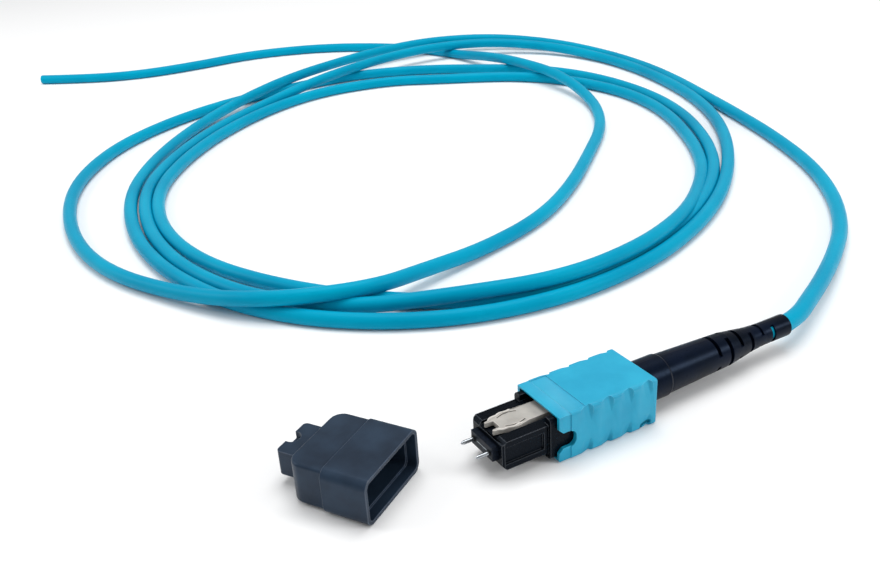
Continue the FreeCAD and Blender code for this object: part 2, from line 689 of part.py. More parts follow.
def strain_relief_boot():
    """The soft tapered boot: a round body, a neck cut by staggered pairs of slots, and a plain tail."""
    piece = plug_body("strain_relief_boot")
    front = FLANGE_BACK
    counterbore = "(%s / 2 + relief_grip)" % CRIMP_SIZE
    cable_way = "(cable_size / 2 + relief_grip / 2)"
    profile = sketch_on(piece, "ReliefProfile", role="YZ_Plane")
    polygon(profile, [
        (counterbore, front),
        (RELIEF_SIZE + " / 2", front),
        (RELIEF_SIZE + " / 2", front + " - relief_collar_long"),
        (RELIEF_SIZE + " / 2 - relief_step", front + " - relief_collar_long - 2 * relief_step"),
        ("relief_shoulder_size / 2", front + " - relief_shoulder_at"),
        ("relief_neck_size / 2", front + " - relief_neck_at"),
        ("relief_tail_size / 2", front + " - relief_neck_at - 3"),
        ("relief_tail_size / 2", RELIEF_BACK),
        (cable_way, RELIEF_BACK),
        (cable_way, BARREL_BACK),
        (counterbore, BARREL_BACK),
    ])
    revolve(piece, profile)
    rows = (("ReliefSlotsUp", "YZ_Plane", "0"), ("ReliefSlotsAcross", "XZ_Plane", "relief_slot_pitch"))
    for name, role, start in rows:
        slots = sketch_on(piece, name, role=role)
        ahead = "(%s - relief_slot_first - %s)" % (front, start)
        for side in ("", "-"):
            rectangle(slots, side + "relief_web / 2", side + RELIEF_SIZE, ahead, ahead + " + relief_slot")
        cut = pocket_across(piece, slots)
        rows = piece.newObject("PartDesign::LinearPattern", name + "Rows")
        rows.Originals = [cut]
        rows.Direction = (plane(piece, "Z_Axis"), [""])
        rows.Reversed = True
        rows.setExpression("Length", cells("2 * relief_slot_pitch * (relief_slot_pairs - 1)"))
        rows.setExpression("Occurrences", cells("relief_slot_pairs"))
        piece.Tip = rows
    return piece


# -------------------------------------------------------------------------------- polarity keys
def polarity_key(label, side, slid_back):
    """A sliding key plate: a forked tip, then two springy legs that bulge outwards beside bent slots."""
    piece = plug_body(label)
    piece.setExpression("Placement.Base.y", cells(slid_back))
    tip = "(%s - key_tip_inset)" % NOSE_FACE
    high = "(key_floor + key_gap + key_thick)" if side == "" else "-(key_floor + key_gap)"
    bulge = "(key_wide / 2 + leg_bulge)"
    half = [
        ("key_wide / 2", tip + " - key_long"),
        ("key_wide / 2", tip + " - 4 * leg_bend"),
        (bulge, tip + " - 3 * leg_bend"),
        (bulge, tip + " - 2.2 * leg_bend"),
        ("(key_wide / 2 - leg_waist)", tip + " - 1.1 * leg_bend"),
        ("(fork_wide / 2 + prong_wide)", tip + " - 0.4 * leg_bend"),
        ("(fork_wide / 2 + prong_wide - 0.15)", tip),
        ("(fork_wide / 2 + 0.1)", tip + " - 0.1"),
        ("fork_wide / 2", tip + " - fork_long"),
    ]
    plate = sketch_on(piece, label + "Plate", "-%s" % high, role="XZ_Plane")
    polygon(plate, half + [("-" + across, up) for across, up in reversed(half)])
    pad(piece, plate, "key_thick")
    cuts = sketch_on(piece, label + "Cuts", role="XZ_Plane")
    bends = [("leg_slot_at", "3.9"), ("(leg_slot_at + leg_bulge)", "3"), ("(leg_slot_at + leg_bulge)", "2.3"),
             ("leg_slot_at", "1.5")]
    for hand in ("", "-"):
        inner = [(hand + across, "%s - %s * leg_bend" % (tip, back)) for across, back in bends]
        outer = [(hand + "(%s + leg_slot)" % across, "%s - %s * leg_bend" % (tip, back))
                 for across, back in bends]
        polygon(cuts, inner + outer[::-1])
    pocket_across(piece, cuts)
    soften(piece, "Fillet", "leg_bend", UP, lambda middle: number(tip + " - 4.2 * leg_bend") < middle.z
           < number(tip + " - 0.9 * leg_bend") and abs(middle.x) > number("key_wide / 2 - leg_waist - 0.1"))
    soften(piece, "Fillet", "0.15", UP, lambda middle: middle.z > number(tip + " - 0.2")
           or near(middle.z, tip + " - fork_long"))
    return piece


# --------------------------------------------------------------------------------------- dust cap
def dust_cap():
    """The cap: a wide mouth, a body with rounded shoulders, a stepped room for the nose and a pull tab."""
    piece = doc.addObject("PartDesign::Body", "dust_cap")
    piece.Label = "dust_cap"
    turned = Rotation(Vector(0, 0, 1), number("cap_angle")) * Rotation(Vector(1, 0, 0), 90)
    piece.Placement = Placement(Vector(0, 0, 0), turned)
    piece.setExpression("Placement.Base.x", cells("cap_mouth_x"))
    piece.setExpression("Placement.Base.y", cells("cap_mouth_y"))
    piece.setExpression("Placement.Base.z", cells("cap_high / 2"))
    back = "-(cap_mouth_long + cap_body_long)"
    body_wide = "(cap_wide - 2 * cap_step)"
    body_high = "(cap_high - 2 * cap_roof_step)"
    mouth = sketch_on(piece, "CapMouth", "-cap_mouth_long")
    centred(mouth, "cap_wide", "cap_high")
    pad(piece, mouth, "cap_mouth_long")
    soften(piece, "Fillet", "cap_corner", FORWARD, lambda middle: True)
    barrel = sketch_on(piece, "CapBody", back)
    centred(barrel, body_wide, body_high)
    pad(piece, barrel, "cap_body_long")
    soften(piece, "Fillet", "cap_shoulder", UP, lambda middle: near(middle.z, back))
    soften(piece, "Fillet", "cap_brow", ACROSS, lambda middle: near(middle.z, back))
    tab_end = back + " - cap_tab_long"
    tab = sketch_on(piece, "CapTab", tab_end)
    centred(tab, "cap_tab_wide", "cap_tab_high")
    pad(piece, tab, "cap_tab_long + cap_brow")
    soften(piece, "Fillet", "cap_tab_corner", UP, lambda middle: near(middle.z, tab_end))
    notch = sketch_on(piece, "CapTabNotch", "-cap_tab_high / 2", role="XZ_Plane")
    circle(notch, "cap_notch_wide", "0", tab_end + " - cap_notch_wide / 2 + cap_notch_long")
    thumb = pocket(piece, notch, "cap_notch_deep", forward=True)
    below = piece.newObject("PartDesign::Mirrored", "CapTabNotchBelow")
    below.Originals = [thumb]
    below.MirrorPlane = (plane(piece, "XZ_Plane"), [""])
    piece.Tip = below
    room_wide = "(cap_wide - 2 * cap_wall)"
    room_high = "(cap_high - 2 * cap_wall)"
    inner_corner = "(cap_corner - cap_wall)"
    room = sketch_on(piece, "CapRoom")
    centred(room, room_wide, room_high)
    pocket(piece, room, "cap_room_deep")
    soften(piece, "Fillet", inner_corner, FORWARD, lambda middle: near(middle.z, "-cap_room_deep / 2"))
    hall = sketch_on(piece, "CapHall")
    centred(hall, room_wide + " - 2 * cap_hall_step", room_high + " - 2 * cap_hall_step")
    pocket(piece, hall, "cap_hall_deep")
    soften(piece, "Fillet", inner_corner, FORWARD,
           lambda middle: near(middle.z, "-(cap_room_deep + cap_hall_deep) / 2"))
    seat = sketch_on(piece, "CapSeat")
    centred(seat, "(nose_wide + 2 * cap_fit)", "(nose_high + 2 * cap_fit)")
    pocket(piece, seat, "cap_seat_deep")
    return piece


# ---------------------------------------------------------------------------- springs and cable
def feature(label, shape):
    """A piece whose shape is made with Part's own functions."""
    piece = doc.addObject("Part::Feature", label)
    piece.Label = label
    piece.Shape = shape
    return piece


def coil_spring(label, turns, wire, length, coil, flatten, place):
    """A spring of round wire about local z, bent in short straight runs, and oval where flatten isn't 1."""
    per_turn = 12
    count = turns * per_turn
    places = []
    for step in range(count + 1):
        turn = 2 * math.pi * step / per_turn
        places.append(Vector(coil / 2 * math.cos(turn), coil / 2 * flatten * math.sin(turn),
                             wire + (length - 2 * wire) * step / count))
    path = Part.makePolygon(places)
    section = Part.Wire([Part.Circle(places[0], places[1] - places[0], wire / 2).toShape()])
    spring = path.makePipeShell([section], True, False, 1)
    spring.Placement = place
    return feature(label, spring)


def rounded_path(points, closed=False):
    """Straight runs joined by tangent arcs, each as large as the shorter run beside it allows."""
    places = [Vector(*point) for point in points]
    count = len(places)
    inner = range(count) if closed else range(1, count - 1)
    edges = []
    joints = {}
    radii = []
    for step in inner:
        before, here, after = places[step - 1], places[step], places[(step + 1) % count]
        back = before - here
        ahead = after - here
        half_turn = (math.pi - back.getAngle(ahead)) / 2
        reach = 0.45 * min(back.Length, ahead.Length)
        radius = reach / math.tan(half_turn)
        radii.append(radius)
        back.normalize()
        ahead.normalize()
        middle = back + ahead
        middle.normalize()
        centre_way = radius / math.cos(half_turn)
        joints[step] = (here + back * reach, here + middle * (centre_way - radius), here + ahead * reach)
    start = joints[count - 1][2] if closed else places[0]
    for step in inner:
        entry, top, leave = joints[step]
        edges.append(Part.LineSegment(start, entry).toShape())
        edges.append(Part.Arc(entry, top, leave).toShape())
        start = leave
    if not closed:
        edges.append(Part.LineSegment(start, places[-1]).toShape())
    return Part.Wire(edges), radii


def cable_run(label, points):
    """A plain tube of the cable along a route, with its radii and volume told."""
    path, radii = rounded_path(points)
    start = Vector(*points[0])
    heading = Vector(*points[1]) - start
    section = Part.Wire([Part.Circle(start, heading, number("cable_size") / 2).toShape()])
    tube = path.makePipeShell([section], True, False)
    expected = math.pi * number("cable_size") ** 2 / 4 * path.Length
    print("%-18s length %7.1f  radii %s  volume ratio %.4f"
          % (label, path.Length, " ".join("%.0f" % radius for radius in radii), tube.Volume / expected))
    return feature(label, tube)


def coil_ring():
    """One closed solid of the coil's outer shape."""
    outside = Part.Face(rounded_path([point + (0,) for point in COIL_OUTSIDE], closed=True)[0])
    inside = Part.Face(rounded_path([point + (0,) for point in COIL_INSIDE], closed=True)[0])
    ring = outside.cut(inside).extrude(Vector(0, 0, number("coil_high")))
    return feature("cable_coil", ring)


def build():
    """Makes every piece, checks the document and writes one STEP file a piece."""
    axis = number("housing_high / 2")
    pieces = [
        outer_housing(),
        inner_housing(),
        ferrule(),
        guide_pin("guide_pin_left", "-"),
        guide_pin("guide_pin_right", ""),
        pin_clamp(),
        ferrule_boot(),
        fibre_ribbon(),
        spring_push(),
        yarn_sleeve(),
        crimp_ring(),
        strain_relief_boot(),
        polarity_key("polarity_key_top", "", "0"),
        polarity_key("polarity_key_bottom", "-", "key_travel"),
        dust_cap(),
    ]
    doc.recompute()

    forward = Rotation(Vector(1, 0, 0), 90)
    side_place = number("(%s / 2 + %s / 2) / 2" % (CORE_WIDE, CAVITY_WIDE))
    side_coil = number("spring_room - side_wire - 2 * side_slack")
    side_length = number("%s - ledge_long - %s" % (LEDGE_FACE, CORE_BACK))
    for label, across in (("coupling_spring_left", -side_place), ("coupling_spring_right", side_place)):
        place = Placement(Vector(across, -number(CORE_BACK), axis), forward)
        pieces.append(coil_spring(label, SIZES["side_turns"], number("side_wire"), side_length,
                                  side_coil, 1, place))
    main_length = number("%s - %s" % (CLAMP_BACK, PUSH_FACE))
    pieces.append(coil_spring("main_spring", SIZES["main_turns"], number("main_wire"), main_length,
                              number("main_coil_wide"), number("main_coil_high / main_coil_wide"),
                              Placement(Vector(0, -number(PUSH_FACE), axis), forward)))

    exit_y = -number(RELIEF_BACK)
    inside = Part.makeCylinder(number("cable_size") / 2, exit_y + number(BARREL_BACK),
                               Vector(0, -number(BARREL_BACK), axis), Vector(0, 1, 0))
    pieces.append(feature("cable_in_boot", inside))
    pieces.append(cable_run("cable_lead", [(0.0, exit_y, axis)] + LEAD))
    pieces.append(cable_run("cable_outer_loop", OUTER_LOOP))
    pieces.append(cable_run("cable_inner_loop", INNER_LOOP))
    pieces.append(cable_run("cable_tail", TAIL))
    pieces.append(coil_ring())

    doc.recompute()
    for item in doc.Objects:
        if "Invalid" in item.State or "Error" in item.State:
            raise RuntimeError("%s is %s" % (item.Name, item.State))
    for piece in pieces:
        if piece.Shape.isNull() or not piece.Shape.isValid():
            raise RuntimeError("%s has no valid shape" % piece.Label)
    os.makedirs("parts", exist_ok=True)
    for piece in pieces:
        piece.Shape.exportStep("parts/%s.step" % piece.Label)
        print("%-22s solids %d  volume %9.2f" % (piece.Label, len(piece.Shape.Solids), piece.Shape.Volume))


build()
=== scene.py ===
# %% [markdown]
# # A fibre connector and its coiled patch cable
#
# The object is a multi-fibre push-on plug: an aqua sleeve slides on a black body, a dark ferrule with
# two steel pins stands at its front, and a rubber boot leads a round aqua cable away to a loose coil.
# The dust cap lies beside it. All solids come from the imported CAD model, so this lesson only dresses
# them: it lays the cable as one soft line, gives each part its finish, rounds the moulded edges, copies
# the springs, and adds what is too fine for the CAD on the keys, the ferrule's face and the boot.

# %% Load the imported model
import json
import math

import bmesh
import bpy
import numpy as np
from mathutils import Matrix, Vector

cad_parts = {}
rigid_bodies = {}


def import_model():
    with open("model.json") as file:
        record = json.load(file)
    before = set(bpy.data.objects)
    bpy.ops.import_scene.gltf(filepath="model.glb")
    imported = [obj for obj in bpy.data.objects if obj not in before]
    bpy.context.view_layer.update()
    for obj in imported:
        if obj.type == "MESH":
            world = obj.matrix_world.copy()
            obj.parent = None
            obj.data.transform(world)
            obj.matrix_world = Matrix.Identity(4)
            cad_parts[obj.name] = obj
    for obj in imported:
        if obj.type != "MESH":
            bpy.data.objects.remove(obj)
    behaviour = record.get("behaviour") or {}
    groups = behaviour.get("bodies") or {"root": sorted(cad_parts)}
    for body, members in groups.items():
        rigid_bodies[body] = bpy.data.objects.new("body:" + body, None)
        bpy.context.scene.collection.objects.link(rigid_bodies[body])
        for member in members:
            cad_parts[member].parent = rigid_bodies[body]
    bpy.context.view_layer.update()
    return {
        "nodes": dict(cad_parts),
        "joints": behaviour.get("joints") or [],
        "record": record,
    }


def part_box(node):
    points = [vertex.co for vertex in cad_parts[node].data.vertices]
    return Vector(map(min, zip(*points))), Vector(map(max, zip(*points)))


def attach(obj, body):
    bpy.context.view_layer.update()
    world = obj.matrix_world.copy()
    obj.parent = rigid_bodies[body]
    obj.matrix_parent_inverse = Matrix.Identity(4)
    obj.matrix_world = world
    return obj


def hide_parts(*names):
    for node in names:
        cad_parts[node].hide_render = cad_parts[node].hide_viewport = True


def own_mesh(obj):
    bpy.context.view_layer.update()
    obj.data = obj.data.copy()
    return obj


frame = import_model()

MM = 0.001  # a length that is typed in millimetres is turned to metres with this
scene = bpy.context.scene

# %% [markdown]
# ## The camera
#
# The plug is small and the coil behind it is large, so the view is a close one with strong
# perspective: the camera stands a hand's breadth above the floor, in front and to the right of the
# plug. Its place is typed in, and its turn is worked out from two angles and a small roll.

# %% Camera
CAMERA_PLACE = Vector((109.544, -85.128, 98.853)) * MM
CAMERA_AZIMUTH, CAMERA_ELEVATION, CAMERA_ROLL = (math.radians(v) for v in (61.973, 26.984, -3.693))
SENSOR_WIDE_MM, FOCAL_LENGTH_MM = 36, 39.549
CLIP_NEAR, CLIP_FAR = 0.005, 8  # metres


def camera_frame(azimuth, elevation, roll):
    """The camera's right, up and back axes as the columns of a matrix: back points from the subject
    to the camera, right is level, up is back x right, and the roll turns right and up about back."""
    back = Vector((math.sin(azimuth) * math.cos(elevation),
                   -math.cos(azimuth) * math.cos(elevation), math.sin(elevation)))
    right = Vector((math.cos(azimuth), math.sin(azimuth), 0))
    up = back.cross(right)
    rolled = right * math.cos(roll) + up * math.sin(roll)
    return Matrix((rolled, back.cross(rolled), back)).transposed()


lens = bpy.data.cameras.new("camera")
lens.sensor_width, lens.lens = SENSOR_WIDE_MM, FOCAL_LENGTH_MM
lens.clip_start, lens.clip_end = CLIP_NEAR, CLIP_FAR
camera = bpy.data.objects.new("camera", lens)
camera.matrix_world = (Matrix.Translation(CAMERA_PLACE)
                       @ camera_frame(CAMERA_AZIMUTH, CAMERA_ELEVATION, CAMERA_ROLL).to_4x4())
scene.collection.objects.link(camera)
scene.camera = camera
print("camera at", [round(v, 4) for v in CAMERA_PLACE])

# %% [markdown]
# ## The cable's line
#
# The real cable is 3.5 mm across and fairly springy. It leaves the boot, falls to the floor, goes
# round the coil three times and a bit, swings out wide of it on the left, comes back inside it, and
# ends cut off at the far left. A NURBS line leans on its points without a corner at any of them, and
# gives exactly such soft bends.
#
# Nobody lays turns of cable on each other exactly, so each turn of the coil has its own line: a
# tilted oval, drawn in by an inset that changes on the way round, and lifted where the cable lies on
# a turn below it. The loop reads both from a list of stations and sets a point every 12 degrees.

# %% The points of the loose stretches, in metres
CABLE_WIDE = 3.5 * MM
CABLE_EXIT = (0.0, 0.0464, 0.0045)
LEAD = [CABLE_EXIT, (-0.0007, 0.051, 0.0044), (-0.0046, 0.0586, 0.004), (-0.0102, 0.069, 0.0032),
        (-0.018, 0.082, 0.0023), (-0.028, 0.0963, 0.0018), (-0.042, 0.110, 0.00175),
        (-0.060, 0.1223, 0.00175), (-0.083, 0.1325, 0.00175), (-0.107, 0.1405, 0.00175)]
OUTER_LOOP = [(-0.233, 0.035, 0.00175), (-0.229, 0.010, 0.00175), (-0.219, -0.014, 0.00175),
              (-0.202, -0.036, 0.00175), (-0.175, -0.053, 0.00175), (-0.142, -0.060, 0.00175),
              (-0.112, -0.058, 0.00175), (-0.086, -0.0455, 0.0024), (-0.0665, -0.0325, 0.0056),
              (-0.059, -0.012, 0.0054)]
INNER_LOOP = [(-0.064, 0.004, 0.0032), (-0.068, 0.022, 0.00175), (-0.075, 0.043, 0.00175),
              (-0.088, 0.062, 0.00175), (-0.105, 0.081, 0.00175), (-0.124, 0.101, 0.00175),
              (-0.147, 0.115, 0.0019), (-0.171, 0.1185, 0.0053)]
TAIL = [(-0.196, 0.1165, 0.0056), (-0.215, 0.115, 0.0042), (-0.233, 0.113, 0.00175),
        (-0.250, 0.1075, 0.00175), (-0.267, 0.0955, 0.00175), (-0.282, 0.079, 0.00175),
        (-0.291, 0.061, 0.00175), (-0.2955, 0.042, 0.00175), (-0.294, 0.020, 0.00175),
        (-0.296, -0.003, 0.00175), (-0.305, -0.022, 0.00175), (-0.317, -0.0375, 0.00175)]
print("loose points:", len(LEAD) + len(OUTER_LOOP) + len(INNER_LOOP) + len(TAIL))

# %% The turns of the coil
COIL_MIDDLE = np.array([-145.0, 54.7])  # mm
COIL_LONG, COIL_SHORT, COIL_TILT = 121.0, 84.0, 137.0  # half axes in mm, and the long one's bearing
POINT_EVERY = 12.0  # degrees
TURN_STATIONS = np.array([
    # degrees round the coil's middle, mm inside the oval, mm from the floor to the cable's middle
    (80, -1.8, 1.75), (97, 1, 1.75), (114, 0.5, 1.75), (127, -0.5, 3.0), (139, 0, 4.7),
    (151, -0.7, 5.25), (161, 1.3, 5.25), (176, 3.8, 5.25), (192, 3.2, 5.25), (206, -1.5, 3.0),
    (219, -3, 1.75), (243, -3, 1.75), (259, -3, 1.75), (271, -1, 1.75), (289, 2.6, 1.75),
    (301, 5, 1.75), (320, 4, 1.75), (331, 1.2, 1.75), (338, -0.9, 1.75), (348, -2.9, 1.75),
    (360, -4, 1.75), (380, -3.3, 1.75), (397, -1.8, 1.75), (414, -0.9, 1.75),
    # the second turn, which lies on the third at the near right
    (426, 0, 1.75), (442, 2.1, 1.75), (457, 4.8, 1.75), (474, 5, 1.75), (487, 5, 3.0),
    (499, 7.5, 4.7), (511, 10.5, 5.25), (521, 13.6, 5.25), (536, 16.4, 5.25), (549, 14.5, 4.6),
    (564, 9.5, 2.4), (583, 5, 1.75), (605, 2.4, 1.75), (622, 1.2, 1.75), (633, 3.4, 1.75),
    (651, 7, 1.75), (663, 9.2, 1.75), (677, 9.4, 1.75), (684, 8.8, 3.0), (691, 6.8, 4.6),
    (698, 3, 4.9), (705, 0.2, 4.9), (712, -1.1, 4.9), (724, -0.7, 4.6), (733, 1.0, 3.2),
    (742, 3.2, 1.9), (757, 5.1, 1.75),
    # the third turn
    (769, 9.3, 1.75), (781, 12, 1.75), (793, 15.3, 1.75), (804, 19.5, 1.75), (812, 23.8, 1.75),
    (819, 28, 1.75), (827, 34, 1.75), (845, 46, 1.75), (863, 52, 1.75), (873, 47, 1.75),
    (887, 34, 1.75), (902, 23, 1.75), (910, 18, 1.75), (922, 14, 1.75), (934, 11.3, 1.75),
    (948, 8.9, 1.75), (966, 6.6, 1.75), (984, 5, 1.75), (999, 8, 1.75), (1010, 11, 1.75),
    (1019, 14, 1.75), (1033, 17.5, 1.75), (1043, 13.5, 1.75), (1051, 8.5, 1.75), (1059, 4, 1.75),
    (1068, 0.9, 1.75), (1080, -0.3, 1.75), (1100, 0.2, 1.75), (1117, 1.7, 1.75),
    # the last part turn, which swings out to the wide loop
    (1129, 4.9, 1.75), (1141, 7.5, 1.75), (1152, 10.5, 1.75), (1163, 14.5, 1.75), (1177, 21, 1.75),
    (1192, 29, 1.75), (1205, 35, 1.75), (1215, 39.5, 1.75), (1224, 38, 1.75), (1233, 32, 1.75),
    (1245, 22, 1.75), (1259, 10, 1.75)])


def coil_points():
    """The oval's radius at a bearing t from its long axis is a b / sqrt((b cos t)^2 + (a sin t)^2). A
    point stands that far from the middle, less the inset, and a little further out, by one over the
    cosine of half a step, because a NURBS line of order 3 runs just inside its points."""
    bearings = np.arange(TURN_STATIONS[0, 0], TURN_STATIONS[-1, 0] + 1, POINT_EVERY)
    insets = np.interp(bearings, TURN_STATIONS[:, 0], TURN_STATIONS[:, 1])
    heights = np.interp(bearings, TURN_STATIONS[:, 0], TURN_STATIONS[:, 2])
    points = []
    for bearing, inset, height in zip(bearings, insets, heights):
        turned = math.radians(bearing - COIL_TILT)
        oval = COIL_LONG * COIL_SHORT / math.hypot(COIL_SHORT * math.cos(turned),
                                                   COIL_LONG * math.sin(turned))
        out = (oval - inset) / math.cos(math.radians(POINT_EVERY / 2))
        x, y = COIL_MIDDLE + out * np.array([math.cos(math.radians(bearing)),
                                             math.sin(math.radians(bearing))])
        points.append((x * MM, y * MM, height * MM))
    return points


cable_points = LEAD + coil_points() + OUTER_LOOP + INNER_LOOP + TAIL
print("cable points:", len(cable_points))

# %% One NURBS line carries the whole cable
LINE_ORDER, STEPS_PER_POINT = 3, 8
route = bpy.data.curves.new("route", "CURVE")
route.dimensions = "3D"
spline = route.splines.new("NURBS")
spline.points.add(len(cable_points) - 1)
spline.points.foreach_set("co", np.c_[np.array(cable_points), np.ones(len(cable_points))].ravel())
spline.order_u = LINE_ORDER
spline.use_endpoint_u = True
spline.resolution_u = STEPS_PER_POINT
holder = bpy.data.objects.new("route", route)
line = bpy.data.meshes.new_from_object(holder)
cable_path = np.empty((len(line.vertices), 3))
line.vertices.foreach_get("co", cable_path.ravel())
bpy.data.meshes.remove(line)
bpy.data.objects.remove(holder)
bpy.data.curves.remove(route)
cable_length = float(np.linalg.norm(np.diff(cable_path, axis=0), axis=1).sum())
print("line points:", len(cable_path), "length in m:", round(cable_length, 3))

# %% [markdown]
# ## A tube of rings
#
# A bevel on the curve would already be a tube. A mesh of rings is as round, and can do more: its last
# rings turn inwards at the cut end, where the jacket's wall shows with the yarn and the fibres inside.
# One function joins rings into a closed skin, and the rest of this lesson uses it for every new piece.


# %% Rings to a skin
SHARP_TURN = math.radians(40)  # faces that meet at more than this get a hard edge


def ring_skin(name, rings):
    """rings[k, i, j] is point j on ring i of skin k. Each ring closes on itself, quads join it to the
    next ring, and the first and the last ring are filled. Looking back from the last ring, the points
    run anticlockwise. All the skins become one mesh."""
    skins, count, sides = rings.shape[:3]
    here = np.arange(skins * count * sides).reshape(skins, count, sides)
    beside = np.roll(here, -1, axis=2)
    quads = np.stack([here[:, :-1], beside[:, :-1], beside[:, 1:], here[:, 1:]], axis=-1).reshape(-1, 4)
    mesh = bpy.data.meshes.new(name)
    mesh.from_pydata(rings.reshape(-1, 3).tolist(), [],
                     quads.tolist() + here[:, 0, ::-1].tolist() + here[:, -1].tolist())
    mesh.shade_smooth()
    mesh.set_sharp_from_angle(angle=SHARP_TURN)
    return mesh


def rings_along(path, reach, sides):
    """Round point i of the path stands a ring of radius reach[i]: point + reach (cos a side + sin a
    over), where side = up x direction and over = direction x side. The path never stands upright."""
    ahead = np.gradient(path, axis=0)
    ahead /= np.linalg.norm(ahead, axis=1, keepdims=True)
    side = np.cross((0.0, 0.0, 1.0), ahead)
    side /= np.linalg.norm(side, axis=1, keepdims=True)
    over = np.cross(ahead, side)
    turn = np.linspace(0, 2 * math.pi, sides, endpoint=False)[None, :, None]
    spokes = np.cos(turn) * side[:, None] + np.sin(turn) * over[:, None]
    return path[:, None] + np.asarray(reach)[:, None, None] * spokes


def place_piece(name, mesh, body):
    """Links a mesh as a new piece that moves with a body."""
    piece = bpy.data.objects.new(name, mesh)
    scene.collection.objects.link(piece)
    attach(piece, body)
    return piece


def ring_piece(name, rings, body):
    """A new piece whose mesh is the skin over the rings."""
    return place_piece(name, ring_skin(name, rings), body)


# %% The cable
CABLE_SIDES = 24
JACKET_WALL, CUT_DEEP = 0.55 * MM, 0.6 * MM  # CUT_DEEP is the depth of the bore behind the cut
bore = CABLE_WIDE / 2 - JACKET_WALL
tube = rings_along(cable_path, np.full(len(cable_path), CABLE_WIDE / 2), CABLE_SIDES)
tip, rim = cable_path[-1], tube[-1] - cable_path[-1]
inward = (cable_path[-2] - tip) / np.linalg.norm(cable_path[-2] - tip)
mouth = tip + rim * (bore * 2 / CABLE_WIDE)  # the rim drawn in to the bore
cut_tube = np.concatenate([tube, [mouth, mouth + inward * CUT_DEEP]])
cable = ring_piece("cable", cut_tube[None], "plug")
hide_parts("cable_lead", "cable_coil", "cable_outer_loop", "cable_inner_loop", "cable_tail")
print("cable:", len(cut_tube), "rings of", CABLE_SIDES, "points")

# %% [markdown]
# Inside the jacket of such a cable is a loose ring of aramid yarn, and inside that are the twelve
# fibres, each 0.25 mm across with its coating. The yarn and the fibres end just inside the jacket's
# cut. The fibres lie in three rings round each other: one in the middle, then four, then seven.

# %% Yarn and fibres at the cut end
YARN_STRANDS, YARN_SIDES = 16, 96
YARN_REACH, YARN_RIPPLE = 0.93, 0.05  # shares of the bore: the yarn's edge, and how far it waves
YARN_FROM, YARN_TO = 1.5, 0.35  # shares of CUT_DEEP below the cut
FIBRES, FIBRE_WIDE, FIBRE_SIDES = 12, 0.25 * MM, 10
FIBRE_TO = 0.1  # share of CUT_DEEP below the cut
FIBRE_RINGS = [(0.0, 1), (0.30 * MM, 4), (0.58 * MM, 7)]  # how far from the middle, and how many
rim_side = rim[0] / np.linalg.norm(rim[0])
rim_over = rim[CABLE_SIDES // 4] / np.linalg.norm(rim[CABLE_SIDES // 4])


def end_rings(middles, reach, depths):
    """Rings across the cut end: middle m, which is given as two numbers across the end, and reach[j]
    for each direction j, one ring at each depth below the cut."""
    turn = np.linspace(0, 2 * math.pi, len(reach), endpoint=False)
    across = reach * np.cos(turn), reach * np.sin(turn)
    flat = ((middles[:, :1] + across[0])[..., None] * rim_side
            + (middles[:, 1:] + across[1])[..., None] * rim_over)
    return tip + flat[:, None] + np.asarray(depths)[None, :, None, None] * inward


around = np.linspace(0, 2 * math.pi, YARN_SIDES, endpoint=False)
yarn_reach = bore * (YARN_REACH + YARN_RIPPLE * np.cos(YARN_STRANDS * around))
yarn_rings = end_rings(np.zeros((1, 2)), yarn_reach, (CUT_DEEP * YARN_FROM, CUT_DEEP * YARN_TO))
yarn = ring_piece("cable_yarn", yarn_rings, "plug")
spots = np.concatenate([np.c_[far * np.cos(turn), far * np.sin(turn)] for far, many in FIBRE_RINGS
                        for turn in [np.arange(many) * 2 * math.pi / many]])
fibre_rings = end_rings(spots, np.full(FIBRE_SIDES, FIBRE_WIDE / 2), (CUT_DEEP, CUT_DEEP * FIBRE_TO))
fibres = ring_piece("cable_fibres", fibre_rings, "plug")
print("fibres:", len(spots), "of", FIBRES)

# %% [markdown]
# ## Finishes: the helpers
#
# A finish is a small tree of shader nodes. One function adds a node with its settings and its links,
# and one turns a colour that is typed as an sRGB hex code into the linear numbers that Blender mixes.
# Three more turn a field, such as a noise, into two tones, into a roughness, and into a low relief.

# %% Colour and node helpers
def linear(code):
    """sRGB hex to linear: c / 12.92 up to 0.04045, and ((c + 0.055) / 1.055) ^ 2.4 above it."""
    shares = [int(code[i:i + 2], 16) / 255 for i in (1, 3, 5)]
    return tuple(c / 12.92 if c <= 0.04045 else ((c + 0.055) / 1.055) ** 2.4 for c in shares) + (1.0,)


def add_node(tree, kind, inputs=None, **settings):
    """Adds a node, sets its own settings, and fills its sockets: a value is set, and a pair of
    another node and the name of its output is linked."""
    made = tree.nodes.new(kind)
    for name, value in settings.items():
        setattr(made, name, value)
    for socket, value in (inputs or {}).items():
        if isinstance(value, tuple) and isinstance(value[0], bpy.types.Node):
            tree.links.new(value[0].outputs[value[1]], made.inputs[socket])
        else:
            made.inputs[socket].default_value = value
    return made


def new_finish(name):
    """An empty material with its output node, as (material, tree, output)."""
    material = bpy.data.materials.new(name)
    material.use_nodes = True
    material.node_tree.nodes.clear()
    return material, material.node_tree, add_node(material.node_tree, "ShaderNodeOutputMaterial")


def per_metre(size_mm):
    """A noise texture's scale for features of that size: one over the size in metres."""
    return 1000.0 / size_mm


def two_tones(tree, field, dark, light, span=(0.0, 1.0)):
    """A ramp that goes from dark to light while the field goes over the span."""
    ramp = add_node(tree, "ShaderNodeValToRGB", {"Fac": (field, "Fac")})
    for element, share, code in zip(ramp.color_ramp.elements, span, (dark, light)):
        element.position, element.color = share, linear(code)
    return ramp


NOISE_SPAN = (0.3, 0.7)  # nearly all the values of a noise lie between these


